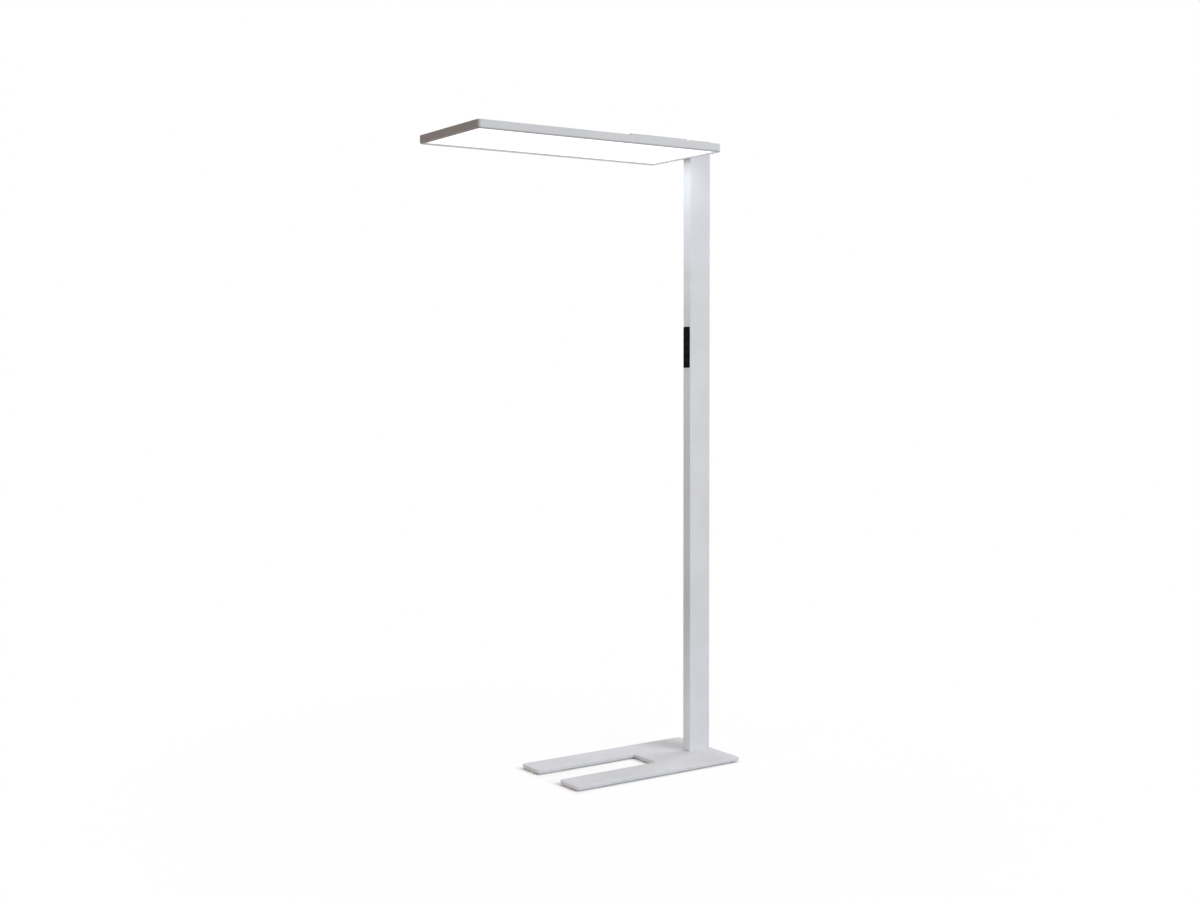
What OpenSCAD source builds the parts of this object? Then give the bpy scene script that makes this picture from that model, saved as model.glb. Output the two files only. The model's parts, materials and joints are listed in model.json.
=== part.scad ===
// Office floor lamp: a forked steel base, a rectangular column with a key strip,
// and a flat light head carried on a short arm.
// Millimetres. Front is -Y, the head's right-hand side is +X, up is +Z.
// The origin is on the floor, midway between the head's front end and the base's rear edge.

/* [Overall] */
// Height of the lamp's highest face, the arm cover's top, above the floor
total_h = 1950; // [1700:10:2100]

/* [Base] */
// Width of the base plate
base_w = 320; // [280:5:400]
// Length of the base plate
base_l = 608; // [560:4:700]
// Thickness of the base plate
base_t = 10; // [8:1:14]
// Width of the slot between the prongs
slot_w = 116; // [80:2:160]
// Length of the slot, from the prongs' tips
slot_l = 354; // [280:2:420]
// Radius of the plate's outer corners
base_corner_r = 10; // [6:1:16]
// Bevel along the plate's top edge
base_bevel = 1.2; // [0.5:0.1:2]
// Height of the rubber feet
foot_h = 5; // [3:0.5:8]
// Diameter of the rubber feet
foot_d = 24; // [16:1:30]
// Distance from a foot's centre to the plate's edges
foot_inset = 22; // [18:1:30]

/* [Column] */
// Width of the column, seen from the front
column_w = 36; // [34:1:44]
// Depth of the column, front to back
column_d = 78; // [78:1:100]
// Wall of the column's extrusion
column_wall = 2.5; // [2:0.1:3]
// Radius of the column's long edges
column_corner_r = 1.5; // [1:0.1:2]
// Plate left behind the column
column_rear_margin = 13; // [5:1:30]
// Bore of the four screw ports
port_bore = 6.1; // [5.1:0.1:6.5]
// Wall round a screw port
port_wall = 1.8; // [1.4:0.1:2]
// From the column's front face to the front ports
port_front = 21; // [20:0.5:24]
// From the front ports to the rear ports
port_pitch = 28; // [24:0.5:30]
// How far the column's top stays below the arm cover's
column_drop = 2; // [0:0.5:3]
// Thickness of the column's top cap
cap_t = 3; // [2:0.5:5]
// Length of the cap's pegs in the screw ports
peg_l = 8; // [5:1:15]

/* [Mains inlet] */
// Height of the inlet's centre above the base plate
inlet_rise = 90; // [60:5:200]
// Width of the inlet's body in the column's rear wall
inlet_w = 27; // [26:0.5:28]
// Height of the inlet's body
inlet_h = 20; // [19:0.5:22]
// Depth of the inlet's body, from the column's rear face
inlet_d = 21; // [19:0.5:23]
// How far the inlet's flange stands past its body
inlet_lip = 2; // [1:0.2:3]
// Thickness of the inlet's flange
inlet_lip_t = 1.6; // [1:0.2:3]

/* [Control strip] */
// Height of the control strip's centre above the floor
strip_z = 1303; // [1000:2:1500]
// Width of the control strip
strip_w = 32; // [31:0.5:34]
// Height of the control strip
strip_h = 129; // [124:1:150]
// Thickness of the strip's face on the column
strip_t = 1.6; // [1.2:0.1:2.5]
// Number of keys
key_count = 4; // [4]
// Distance from key to key
key_pitch = 27; // [25:0.5:29]
// Width of a key
key_w = 22; // [18:0.5:23]
// Height of a key
key_h = 19; // [16:0.5:20]
// How far a key stands out of the strip's face
key_proud = 0.7; // [0.6:0.1:1.5]
// Travel of a key
key_travel = 0.5; // [0.3:0.1:0.5]
// Gap round a key in its window
key_gap = 0.3; // [0.2:0.05:0.5]
// Thickness of the control board
board_t = 1.6; // [1:0.2:2]

/* [Head] */
// Length of the light head
head_l = 843; // [700:2:1000]
// Width of the light head
head_w = 356; // [300:2:400]
// Thickness of the light head
head_h = 25; // [25:1:40]
// Radius of the head's corners
head_corner_r = 10; // [8:1:16]
// Bevel along the head's lower edge
head_bevel = 3.5; // [2:0.5:5]
// Wall of the head's frame
head_wall = 2; // [1.5:0.1:3]
// Width of the rim under the diffuser
rim_w = 8; // [7.5:0.5:12]
// Depth of the rim, from the head's underside to the diffuser
rim_h = 5; // [4.5:0.5:8]
// Width of the ledge that carries the top cover
ledge_w = 3; // [2.8:0.1:5]
// Thickness of the ledge
ledge_t = 2; // [1:0.5:3]
// Thickness of the top cover
cover_t = 1.5; // [1:0.1:2.5]
// Thickness of the diffuser
diffuser_t = 2; // [1.5:0.5:3]
// Thickness of the light guide
guide_t = 4; // [3:0.5:5]
// Thickness of the reflector sheet
reflector_t = 0.5; // [0.3:0.1:1]
// Gap between the head's rear end and the column
head_gap = 2; // [2:0.5:6]

/* [Arm] */
// Length of the raised arm cover on the head
arm_l = 210; // [200:2:300]
// Height of the arm cover above the head
arm_h = 34; // [33:1:44]
// Wall of the arm cover
arm_wall = 2; // [1.8:0.1:2.2]
// Gap between the arm cover and the column, which the neck fills
neck_gap = 13; // [8:1:20]
// Thickness of the neck's tongue on the head
tongue_t = 8; // [7:0.5:9]
// Length of the neck's tongue
tongue_l = 188; // [184:1:190]
// Length of the driver's case
driver_l = 140; // [110:5:146]
// Height of the driver's case
driver_h = 20; // [16:0.5:21]

/* [Hidden] */
$fn = 48;

// Clearances
slip = 0.3;        // round a piece that drops into its place
thread_gap = 0.05; // between a screw and its tapped hole
shank_gap = 0.3;   // between a screw and a hole it passes through
cable_gap = 0.4;   // round a cable in a hole
eps = 0.01;        // how far a cutter reaches past a face

// Places along Y, from the base's rear edge forward to the head's front end
depth_all = head_l + head_gap + column_d + column_rear_margin;
base_y1 = depth_all / 2;
base_y0 = base_y1 - base_l;
column_y1 = base_y1 - column_rear_margin;
column_y0 = column_y1 - column_d;
column_yc = (column_y0 + column_y1) / 2;
arm_y1 = column_y0 - neck_gap;
head_y1 = column_y0 - head_gap;
head_y0 = head_y1 - head_l;
head_yc = (head_y0 + head_y1) / 2;

// Places along Z, from the floor up
plate_z0 = foot_h;
plate_z1 = foot_h + base_t;
column_z1 = total_h - column_drop - cap_t;
head_z1 = total_h - arm_h;
head_z0 = head_z1 - head_h;

// Screw sizes: shank diameter, head diameter and head height of countersunk screws
m3 = [3, 6, 1.65];
m4 = [4, 7.2, 2.1];
m5 = [5, 8.8, 2.5];
m6 = [6, 12, 3.3];

// Column
inner_w = column_w - 2 * column_wall;
port_x = inner_w / 2 - port_bore / 2 - 0.8;
port_ys = [column_y0 + port_front, column_y0 + port_front + port_pitch];
port_slit = 2.4;
base_screw_bite = 30; // length of a base screw inside its port

// Keys: the strip's face lies on the column, and depths count inward from the column's front face
key_flange = 1;       // how far a key's flange reaches past its window
flange_t = 1;
flange_gap = 0.2;     // between a resting key's flange and the back of the strip's face
post_d = 4;
plunger_d = 3.4;
plunger_out = 1.2;    // how far a resting plunger stands out of its switch
plunger_gap = 0.1;    // round a plunger in its switch
plunger_play = 0.5;   // left under a plunger that is pressed down
switch_w = 6;
switch_h = 3.5;
switch_floor = 0.7;
plunger_l = plunger_out + switch_h - switch_floor - key_travel - plunger_play;
skirt_wall = 1.4;
skirt_h = strip_h - 6;
skirt_w = strip_w - 4;
skirt_depth = column_wall + 4.5;
switch_depth = flange_gap + flange_t + 4;
board_depth = switch_depth + switch_h;
boss_d = 5;
boss_rise = skirt_h / 2 - skirt_wall - boss_d / 2;
tray_gap = 3.6;       // behind the board
tray_depth = board_depth + board_t + tray_gap + skirt_wall;
tray_screw = [2.5, 4.6, 2];
tray_screw_l = tray_depth - board_depth + 5.5;
strip_r = 3;
strip_bevel = 0.5;
skirt_r = 1;
key_r = 1.5;
key_bevel = 0.4;
lug_rise = 44;
lug_w = 9;
lug_reach = 1.1;      // how far a snap lug stands out of its wall
lug_depth = 3;
lug_gap = 0.1;        // between a snap lug and the back of the column's wall
chip = [7, 1.2, 7];
connector_size = [9, 3.4, 6];
connector_rise = 20;

// Cables: where they run in the column and through the neck
mains_d = 6.5;
mains_x = 2.6;
mains_run_y = column_y0 + port_front + port_pitch / 2;
mains_bend = 9;
signal_d = 3.6;
signal_x = -3.7;
signal_bend = 6;
signal_z = strip_z + connector_rise;
signal_run_y = column_y0 + tray_depth + signal_bend + 3;
neck_hole_rise = tongue_t + 5;
neck_hole_z = head_z1 + neck_hole_rise;
neck_hole_r = mains_d / 2 + cable_gap;
neck_hole_half = mains_x + mains_d / 2 + cable_gap;

// Mains inlet: blades are given by width, length in the socket, and height
inlet_z = plate_z1 + inlet_rise;
inlet_wall = 1.4;
inlet_chamfer = 5.5;
socket_depth = 16;
blade = [2, 14, 4];
blade_pitch = 14;
blade_rise = 2;
blade_gap = 0.05;
inlet_lug_w = 6;

// Neck
neck_w = column_w - 2;
neck_z0 = head_z1;
neck_z1 = total_h - 5;
neck_screw_x = neck_hole_half + m4[1] / 2 + 0.5;
neck_screw_zs = [neck_z0 + tongue_t + m4[1] / 2 + 0.8, neck_z1 - m4[1] / 2 - 0.8];
backplate_t = 6;
backplate_margin = [2, 0.5]; // below and above
neck_screw_l = neck_gap + column_wall + backplate_t - 0.5;

// Arm and driver
arm_w = column_w;
arm_corner_r = 2;
arm_bevel = 1;
arm_y0 = arm_y1 - arm_l;
tongue_w = arm_w - 2 * arm_wall - 2 * 0.2;
tongue_y0 = arm_y1 - tongue_l;
arm_screw_x = 9;
arm_screw_inset = 52;
arm_screw_ys = [arm_y1 - arm_screw_inset, tongue_y0 + arm_screw_inset];
side_screw_inset = 16;
side_screw_ys = [arm_y1 - side_screw_inset, tongue_y0 + side_screw_inset];
side_screw_depth = 10;
driver_w = tongue_w - 4;
driver_r = 1.5;
driver_bevel = 0.8;
ear_l = 9;
ear_t = 1.5;
driver_rear_gap = 24;
driver_y1 = arm_y1 - driver_rear_gap - ear_l;
driver_y0 = driver_y1 - driver_l;
driver_screw_x = driver_w / 2 - 4;
pan_screw = [3, 5.4, 1.8];
pan_bite = 6;

// Head
inside_w = head_w - 2 * head_wall;
inside_l = head_l - 2 * head_wall;
inside_r = head_corner_r - head_wall;
sheet_w = inside_w - 2 * ledge_w - 1;
sheet_l = inside_l - 2 * ledge_w - 1;
sheet_r = 3;
top_bevel = 0.6;       // along the head's upper edge
light_r = 2;           // corners of the light opening
diffuser_z = head_z0 + rim_h;
guide_z = diffuser_z + diffuser_t;
reflector_z = guide_z + guide_t;
rib_z = reflector_z + reflector_t;
cover_z = head_z1 - cover_t;
cavity_h = cover_z - rib_z;
rib_w = 12;
rib_pitch = 160;
rib_end_gap = 4;
rib_front_margin = 40; // least distance from the last rib to the head's front end
cover_screw = [2.5, 4.7, 1.3];
cover_screw_l = 9;
cover_screw_inset = 46;
spine_w = 60;
spine_t = 8;
spine_gap = 0.1;
spine_y0 = tongue_y0;
spine_y1 = head_y1 - head_wall - ledge_w - slip;
strip_board_t = 1.6;
strip_board_h = ledge_drop() - 1;
led_pitch = 20;
led_size = [0.8, 5, 2.6];

// LED lead
lead_d = 4.4;
lead_bend = 6;
lead_y = (tongue_y0 + arm_y0 + arm_wall) / 2;
lead_hole_r = 4.5;
grommet_flange = 1.4;
grommet_slip = 0.1;
lead_z = cover_z - cavity_h / 2;
rib_count = 1 + floor((lead_y - head_y0 - rib_front_margin) / rib_pitch + 0.5);

// Height between the rim and the underside of the ledge
function ledge_drop() = cover_z - ledge_t - diffuser_z;

// Y of rib number i, counted from the rear: the LED lead crosses midway between the first two
function rib_y(i) = lead_y + rib_pitch * (0.5 - i);

// Height of key number i, counted from the top
function key_z(i) = strip_z + key_pitch * ((key_count - 1) / 2 - i);

// ---------- shared shapes ----------

module rounded_rect(w, l, r) {
    square([w - 2 * r, l], center = true);
    square([w, l - 2 * r], center = true);
    for (x = [-1, 1], y = [-1, 1])
        translate([x * (w / 2 - r), y * (l / 2 - r)]) circle(r);
}

module rounded_plate(w, l, h, r) {
    linear_extrude(h) rounded_rect(w, l, r);
}

// The right-hand edge of a section, from the bottom up, with its bottom and top corners bevelled
function edge_points(reach, h, low, high) = concat(
    low > 0 ? [[reach - low, 0], [reach, low]] : [[reach, 0]],
    high > 0 ? [[reach, h - high], [reach - high, h]] : [[reach, h]]
);

// The same edge on the left, from the top down
function mirrored_edge(points) = [for (i = [len(points) - 1 : -1 : 0]) [-points[i][0], points[i][1]]];

// A flat block with rounded corners, and straight bevels along its bottom and top edges
module bevelled_block(w, l, h, r, low = 0, high = 0) {
    across = edge_points(w / 2, h, low, high);
    along = edge_points(l / 2, h, low, high);
    rotate([90, 0, 0])
        linear_extrude(l - 2 * r, center = true) polygon(concat(across, mirrored_edge(across)));
    rotate([90, 0, 90])
        linear_extrude(w - 2 * r, center = true) polygon(concat(along, mirrored_edge(along)));
    for (x = [-1, 1], y = [-1, 1])
        translate([x * (w / 2 - r), y * (l / 2 - r), 0])
            rotate_extrude() polygon(concat([[0, 0]], edge_points(r, h, low, high), [[0, h]]));
}

// A countersunk screw along +Z: its head's flat face is at z = 0 and the shank points up
module countersunk(size, length) {
    shank = size[0] / 2;
    head = size[1] / 2;
    difference() {
        rotate_extrude() polygon([
            [0, 0], [head, 0], [head, 0.3], [shank, size[2]],
            [shank, length - 0.6], [shank - 0.6, length], [0, length]
        ]);
        translate([0, 0, -eps]) cylinder(h = size[2] * 0.7, r = shank * 0.6, $fn = 6);
    }
}

// The hole for a countersunk screw, with its mouth at z = 0
module countersunk_hole(size, length) {
    shank = size[0] / 2 + shank_gap;
    head = size[1] / 2 + 0.1;
    rotate_extrude() polygon([
        [0, -1], [head, -1], [head, 0.4], [shank, size[2] + 0.1], [shank, length], [0, length]
    ]);
}

// A pan-head screw along -Z: the head stands above z = 0
module pan_head(size, length) {
    difference() {
        union() {
            cylinder(h = size[2], d = size[1]);
            translate([0, 0, -length]) cylinder(h = length + eps, d = size[0]);
        }
        translate([0, 0, size[2] * 0.4]) cylinder(h = size[2], r = size[0] * 0.3, $fn = 6);
    }
}

// A quarter bend of a round cable, in the XY plane: it starts at the origin along +X
// and turns towards +Y
module cable_bend(d, r) {
    translate([0, r, 0]) rotate([0, 0, -90])
        rotate_extrude(angle = 90) translate([r, 0]) circle(d = d);
}

// An upright slot for cables through a wall, along +Y
module cable_slot(half_width, r, depth) {
    for (x = [-1, 1])
        translate([x * (half_width - r), 0, 0]) rotate([-90, 0, 0]) cylinder(h = depth, r = r);
    translate([-(half_width - r), 0, -r]) cube([2 * (half_width - r), depth, 2 * r]);
}

module at_ports() {
    for (x = [-1, 1], y = port_ys) translate([x * port_x, y, 0]) children();
}

module at_neck_screws() {
    for (x = [-1, 1], z = neck_screw_zs)
        translate([x * neck_screw_x, arm_y1, z]) rotate([-90, 0, 0]) children();
}

module at_arm_screws() {
    for (x = [-1, 1], y = arm_screw_ys)
        translate([x * arm_screw_x, y, head_z1 + tongue_t]) rotate([180, 0, 0]) children();
}

module at_side_screws() {
    for (side = [-1, 1], y = side_screw_ys)
        translate([side * arm_w / 2, y, head_z1 + tongue_t / 2]) rotate([0, -side * 90, 0]) children();
}

module at_driver_screws() {
    for (x = [-1, 1], y = [driver_y0 - ear_l / 2, driver_y1 + ear_l / 2])
        translate([x * driver_screw_x, y, head_z1 + tongue_t + ear_t]) children();
}

module at_cover_screws() {
    for (side = [-1, 1], i = [0 : rib_count - 1])
        translate([side * (head_w / 2 - cover_screw_inset), rib_y(i), head_z1])
            rotate([180, 0, 0]) children();
}

module at_tray_screws() {
    for (side = [-1, 1])
        translate([0, column_y0 + tray_depth, strip_z + side * boss_rise])
            rotate([-90, 0, 0]) children();
}

// A pair of lugs that snap behind the column's wall, on the sides of a body w wide; z runs inward
module snap_lugs(w, lug_width) {
    for (side = [0, 1]) mirror([side, 0, 0])
        translate([w / 2, 0, column_wall + lug_gap]) rotate([90, 0, 0])
            linear_extrude(lug_width, center = true)
                polygon([[-1, 0], [lug_reach, 0], [0, lug_depth], [-1, lug_depth]]);
}

// Moves a shape that is drawn in strip coordinates, with z inward, onto the column's front face
module on_strip(z) {
    translate([0, column_y0, z]) rotate([-90, 0, 0]) children();
}

// ---------- base ----------

module base_plate() {
    prong_w = (base_w - slot_w) / 2;
    slab_l = base_l - slot_l;
    prong_l = slot_l + 3 * base_corner_r;
    color("gainsboro") difference() {
        union() {
            translate([0, base_y1 - slab_l / 2, plate_z0])
                bevelled_block(base_w, slab_l, base_t, base_corner_r, 0, base_bevel);
            for (side = [-1, 1])
                translate([side * (base_w - prong_w) / 2, base_y0 + prong_l / 2, plate_z0])
                    bevelled_block(prong_w, prong_l, base_t, base_corner_r, 0, base_bevel);
        }
        at_ports() translate([0, 0, plate_z0]) countersunk_hole(m6, base_t + 1);
    }
}

module base_feet() {
    prong_x = (base_w + slot_w) / 4;
    corner_x = base_w / 2 - foot_inset;
    places = [
        [prong_x, base_y0 + foot_inset], [prong_x, base_y0 + slot_l],
        [corner_x, base_y1 - foot_inset]
    ];
    color([0.12, 0.12, 0.13]) for (side = [-1, 1], place = places)
        translate([side * place[0], place[1], 0]) rotate_extrude() polygon([
            [0, 0], [foot_d / 2 - 1, 0], [foot_d / 2, 1], [foot_d / 2, foot_h], [0, foot_h]
        ]);
}

module base_screws() {
    color("silver") at_ports() translate([0, 0, plate_z0]) countersunk(m6, base_t + base_screw_bite);
}

// ---------- column ----------

module column_section() {
    difference() {
        union() {
            difference() {
                rounded_rect(column_w, column_d, column_corner_r);
                square([inner_w, column_d - 2 * column_wall], center = true);
            }
            for (side = [-1, 1], y = port_ys)
                translate([side * port_x, y - column_yc]) {
                    circle(port_bore / 2 + port_wall);
                }
        }
        for (side = [-1, 1], y = port_ys) translate([side * port_x, y - column_yc]) {
            circle(port_bore / 2);
            translate([-side * (port_bore + port_wall) / 2, 0])
                square([port_bore + port_wall, port_slit], center = true);
        }
    }
}

module column_profile() {
    color("gainsboro") difference() {
        translate([0, column_yc, plate_z1]) linear_extrude(column_z1 - plate_z1) column_section();
        // window of the control strip
        translate([0, column_y0 + column_wall / 2, strip_z])
            cube([skirt_w + 2 * slip, column_wall + 1, skirt_h + 2 * slip], center = true);
        // window of the mains inlet
        translate([0, column_y1 - column_wall / 2, inlet_z])
            cube([inlet_w + 2 * slip, column_wall + 1, inlet_h + 2 * slip], center = true);
        // cable slot and screw holes of the neck
        translate([0, column_y0 - 1, neck_hole_z])
            cable_slot(neck_hole_half, neck_hole_r, column_wall + 2);
        at_neck_screws() translate([0, 0, neck_gap - 1])
            cylinder(h = column_wall + 2, d = m4[0] + 2 * shank_gap);
    }
}

module column_cap() {
    color("gainsboro") {
        translate([0, column_yc, column_z1])
            bevelled_block(column_w, column_d, cap_t, column_corner_r, 0, 0.5);
        at_ports() translate([0, 0, column_z1]) mirror([0, 0, 1]) rotate_extrude() polygon([
            [0, -cap_t / 2], [port_bore / 2 - thread_gap, -cap_t / 2],
            [port_bore / 2 - thread_gap, peg_l - 1], [port_bore / 2 - 0.8, peg_l], [0, peg_l]
        ]);
    }
}

// ---------- mains inlet and cable ----------

// The inlet's outlines: z runs inward from the column's rear face
module on_rear(z) {
    translate([0, column_y1, z]) rotate([90, 0, 0]) children();
}

// The inlet's outline, with its two upper corners cut off on the earth blade's side
module inlet_plate(w, h, chamfer, depth) {
    linear_extrude(depth) polygon([
        [-w / 2, -h / 2], [w / 2, -h / 2], [w / 2, h / 2 - chamfer],
        [w / 2 - chamfer, h / 2], [chamfer - w / 2, h / 2], [-w / 2, h / 2 - chamfer]
    ]);
}

module mains_inlet() {
    socket_w = inlet_w - 2 * inlet_wall;
    socket_h = inlet_h - 2 * inlet_wall;
    floor_t = inlet_d - socket_depth;
    color([0.1, 0.1, 0.11]) on_rear(inlet_z) difference() {
        union() {
            inlet_plate(inlet_w, inlet_h, inlet_chamfer, inlet_d);
            translate([0, -inlet_chamfer / 2, 0]) snap_lugs(inlet_w, inlet_lug_w);
            translate([0, 0, -inlet_lip_t])
                rounded_plate(inlet_w + 2 * inlet_lip, inlet_h + 2 * inlet_lip, inlet_lip_t, 2.5);
        }
        translate([0, 0, -inlet_lip_t - 1])
            inlet_plate(socket_w, socket_h, inlet_chamfer - inlet_wall / 2, socket_depth + inlet_lip_t + 1);
        for (p = blade_places()) translate([p[0], p[1], socket_depth + floor_t / 2])
            cube([blade[0] + 2 * blade_gap, blade[2] + 2 * blade_gap, floor_t + 2], center = true);
    }
}

// Centres of the line, neutral and earth blades
function blade_places() = [
    [-blade_pitch / 2, -blade_rise], [blade_pitch / 2, -blade_rise], [0, blade_rise]
];

module inlet_blades() {
    color("silver") on_rear(inlet_z) for (p = blade_places())
        translate([p[0] - blade[0] / 2, p[1] - blade[2] / 2, socket_depth - blade[1]])
            cube([blade[0], blade[2], blade[1] + inlet_d - socket_depth]);
}

module mains_cable() {
    start_y = column_y1 - inlet_d;
    lift = neck_hole_z - inlet_z;
    color([0.85, 0.85, 0.85]) translate([mains_x, 0, 0]) {
        // out of the inlet, forwards
        translate([0, mains_run_y + mains_bend, inlet_z]) rotate([-90, 0, 0])
            cylinder(h = start_y - mains_run_y - mains_bend, d = mains_d);
        translate([0, mains_run_y + mains_bend, inlet_z]) rotate([90, 0, -90])
            cable_bend(mains_d, mains_bend);
        // up the column
        translate([0, mains_run_y, inlet_z + mains_bend])
            cylinder(h = lift - 2 * mains_bend, d = mains_d);
        // forwards through the neck to the driver
        translate([0, mains_run_y - mains_bend, neck_hole_z]) rotate([-90, 0, 90])
            cable_bend(mains_d, mains_bend);
        translate([0, driver_y1, neck_hole_z]) rotate([-90, 0, 0])
            cylinder(h = mains_run_y - mains_bend - driver_y1, d = mains_d);
    }
}

module signal_route() {
    lift = neck_hole_z - signal_z;
    start_y = column_y0 + board_depth + board_t + connector_size[1];
    translate([signal_x, 0, 0]) {
        // out of the connector, backwards
        translate([0, start_y, signal_z]) rotate([-90, 0, 0])
            cylinder(h = signal_run_y - signal_bend - start_y, d = signal_d);
        translate([0, signal_run_y - signal_bend, signal_z]) rotate([90, 0, 90])
            cable_bend(signal_d, signal_bend);
        // up the column
        translate([0, signal_run_y, signal_z + signal_bend])
            cylinder(h = lift - 2 * signal_bend, d = signal_d);
        // forwards through the neck to the driver
        translate([0, signal_run_y - signal_bend, neck_hole_z]) rotate([-90, 0, 90])
            cable_bend(signal_d, signal_bend);
        translate([0, driver_y1, neck_hole_z]) rotate([-90, 0, 0])
            cylinder(h = signal_run_y - signal_bend - driver_y1, d = signal_d);
    }
}

// ---------- control strip ----------

// The room inside the skirt and the tray
module skirt_inside(depth) {
    rounded_plate(skirt_w - 2 * skirt_wall, skirt_h - 2 * skirt_wall, depth, skirt_r / 2);
}

module control_fascia() {
    color([0.08, 0.08, 0.09]) difference() {
        union() {
            on_strip(strip_z) translate([0, 0, -strip_t])
                bevelled_block(strip_w, strip_h, strip_t, strip_r, strip_bevel, 0);
            on_strip(strip_z) difference() {
                translate([0, 0, -strip_t / 2])
                    rounded_plate(skirt_w, skirt_h, skirt_depth + strip_t / 2, skirt_r);
                skirt_inside(skirt_depth + 1);
            }
            // bosses for the tray's screws
            for (side = [-1, 1]) on_strip(strip_z + side * boss_rise)
                translate([0, 0, -strip_t / 2]) cylinder(h = board_depth + strip_t / 2, d = boss_d);
            for (rise = [-lug_rise, lug_rise]) on_strip(strip_z + rise) snap_lugs(skirt_w, lug_w);
        }
        // windows of the keys
        for (i = [0 : key_count - 1]) on_strip(key_z(i)) translate([0, 0, -strip_t - 1])
            rounded_plate(key_w + 2 * key_gap, key_h + 2 * key_gap, strip_t + 2, key_r + key_gap);
        at_tray_screws() translate([0, 0, -tray_screw_l])
            cylinder(h = tray_screw_l, d = tray_screw[0] + 2 * thread_gap);
    }
}

module control_tray() {
    depth = tray_depth - skirt_depth;
    color([0.15, 0.15, 0.16]) difference() {
        union() {
            on_strip(strip_z) translate([0, 0, skirt_depth]) difference() {
                rounded_plate(skirt_w, skirt_h, depth, skirt_r);
                translate([0, 0, -1]) skirt_inside(depth - skirt_wall + 1);
            }
            for (side = [-1, 1]) on_strip(strip_z + side * boss_rise)
                translate([0, 0, board_depth + board_t])
                    cylinder(h = tray_gap + skirt_wall / 2, d = boss_d);
        }
        at_tray_screws() translate([0, 0, -tray_depth])
            cylinder(h = tray_depth + 1, d = tray_screw[0] + 2 * shank_gap);
        translate([signal_x, column_y0, signal_z]) rotate([-90, 0, 0])
            cylinder(h = tray_depth + 1, d = signal_d + 2 * cable_gap);
    }
}

module control_board() {
    w = skirt_w - 2 * skirt_wall - 2 * slip;
    h = skirt_h - 2 * skirt_wall - 2 * slip;
    color("darkgreen") difference() {
        union() {
            on_strip(strip_z) translate([0, 0, board_depth]) rounded_plate(w, h, board_t, 1);
            for (rise = [-chip[2] * 3, chip[2] * 5])
                translate([-chip[0] / 2, column_y0 + board_depth + board_t / 2, strip_z + rise])
                    cube([chip[0], chip[1] + board_t / 2, chip[2]]);
        }
        at_tray_screws() translate([0, 0, -tray_depth])
            cylinder(h = tray_depth + 1, d = tray_screw[0] + 2 * shank_gap);
    }
}

module key_switches() {
    color([0.2, 0.2, 0.2]) for (i = [0 : key_count - 1]) on_strip(key_z(i))
        translate([0, 0, switch_depth]) difference() {
            translate([0, 0, switch_h / 2]) cube([switch_w, switch_w, switch_h], center = true);
            translate([0, 0, -1])
                cylinder(h = switch_h - switch_floor + 1, d = plunger_d + 2 * plunger_gap);
        }
}

module board_connector() {
    color("ivory") translate([
        signal_x - connector_size[0] / 2,
        column_y0 + board_depth + board_t,
        signal_z - connector_size[2] / 2
    ]) cube(connector_size);
}

module control_screws() {
    color("silver") at_tray_screws() pan_head(tray_screw, tray_screw_l - 0.5);
}

module control_lead() {
    color([0.7, 0.7, 0.7]) signal_route();
}

module key(i) {
    cap_depth = key_proud + strip_t + flange_gap + flange_t / 2;
    color([0.08, 0.08, 0.09]) on_strip(key_z(i)) {
        translate([0, 0, -strip_t - key_proud])
            bevelled_block(key_w, key_h, cap_depth, key_r, key_bevel, 0);
        translate([0, 0, flange_gap])
            rounded_plate(key_w + 2 * key_flange, key_h + 2 * key_flange, flange_t, key_r);
        cylinder(h = switch_depth - plunger_out, d = post_d);
    }
}

module plunger(i) {
    color("white") on_strip(key_z(i)) translate([0, 0, switch_depth - plunger_out])
        cylinder(h = plunger_l, d = plunger_d);
}

// ---------- neck ----------

module neck_bracket() {
    color("silver") difference() {
        union() {
            translate([-neck_w / 2, arm_y1, neck_z0]) cube([neck_w, neck_gap, neck_z1 - neck_z0]);
            translate([-tongue_w / 2, tongue_y0, head_z1])
                cube([tongue_w, tongue_l + neck_gap / 2, tongue_t]);
        }
        translate([0, arm_y1 - 1, neck_hole_z]) cable_slot(neck_hole_half, neck_hole_r, neck_gap + 2);
        at_neck_screws() countersunk_hole(m4, neck_gap + 1);
        at_arm_screws() countersunk_hole(m5, tongue_t + 1);
        at_side_screws() cylinder(h = side_screw_depth, d = m3[0] + 2 * thread_gap);
        at_driver_screws() translate([0, 0, -ear_t - pan_bite])
            cylinder(h = ear_t + pan_bite, d = pan_screw[0] + 2 * thread_gap);
    }
}

module neck_backplate() {
    w = inner_w - 2 * slip;
    z0 = neck_z0 + backplate_margin[0];
    z1 = neck_z1 - backplate_margin[1];
    y0 = column_y0 + column_wall;
    color("silver") difference() {
        translate([-w / 2, y0, z0]) cube([w, backplate_t, z1 - z0]);
        translate([0, y0 - 1, neck_hole_z]) cable_slot(neck_hole_half, neck_hole_r, backplate_t + 2);
        at_neck_screws() cylinder(h = neck_screw_l + 1, d = m4[0] + 2 * thread_gap);
    }
}

module neck_screws() {
    color("dimgray") at_neck_screws() countersunk(m4, neck_screw_l);
}

// ---------- arm ----------

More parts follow.
